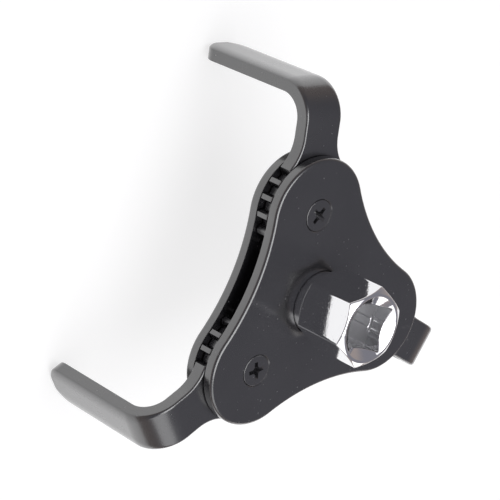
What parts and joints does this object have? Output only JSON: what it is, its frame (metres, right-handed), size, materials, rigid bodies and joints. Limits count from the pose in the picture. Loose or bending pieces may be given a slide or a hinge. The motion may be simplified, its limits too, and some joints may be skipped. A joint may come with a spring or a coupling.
{
  "type": "oil filter wrench",
  "caption": "Claw oil filter wrench: a square-drive hexagon turns bent legs, geared together between two lobed plates, to grip a spin-on filter's end.",
  "frame": {"origin": "on the drive axis, in the plane of the leg tips", "axes": "+Z along the drive axis towards the mouth of the square socket, +X towards the pivot of leg_1"},
  "size_m": [0.1064, 0.1153, 0.0718],
  "materials": {
    "black_paint": "satin black coating, a little dusty",
    "black_screw": "blackened steel",
    "chrome": "polished",
    "bare_steel": "machined, lightly greased"
  },
  "bodies": {
    "head": {"front_plate": "black_paint", "rear_plate": "black_paint", "pivot_pin_1": "bare_steel", "pivot_pin_2": "bare_steel", "pivot_pin_3": "bare_steel", "front_screw_1": "black_screw", "front_screw_2": "black_screw", "front_screw_3": "black_screw"},
    "drive": {"drive_socket": "chrome", "sun_gear": "bare_steel", "rear_washer": "bare_steel", "retaining_ring": "bare_steel"},
    "leg_one": {"leg_1": "black_paint"},
    "leg_two": {"leg_2": "black_paint"},
    "leg_three": {"leg_3": "black_paint"}
  },
  "joints": [
    {"name": "drive_turn", "type": "hinge", "parent": "head", "child": "drive", "pos_m": [0, 0, 0.0503], "axis": [0, 0, 1], "range_deg": [-152, 125]},
    {"name": "leg_1_swing", "type": "hinge", "parent": "head", "child": "leg_one", "pos_m": [0.027, 0, 0.04465], "axis": [0, 0, 1], "range_deg": [-93.75, 114]},
    {"name": "leg_2_swing", "type": "hinge", "parent": "head", "child": "leg_two", "pos_m": [-0.0135, 0.02338, 0.04465], "axis": [0, 0, 1], "range_deg": [-93.75, 114]},
    {"name": "leg_3_swing", "type": "hinge", "parent": "head", "child": "leg_three", "pos_m": [-0.0135, -0.02338, 0.04465], "axis": [0, 0, 1], "range_deg": [-93.75, 114]}
  ],
  "couplings": [
    {"joint": "leg_1_swing", "follows": "drive_turn", "ratio": -0.75},
    {"joint": "leg_2_swing", "follows": "drive_turn", "ratio": -0.75},
    {"joint": "leg_3_swing", "follows": "drive_turn", "ratio": -0.75}
  ]
}
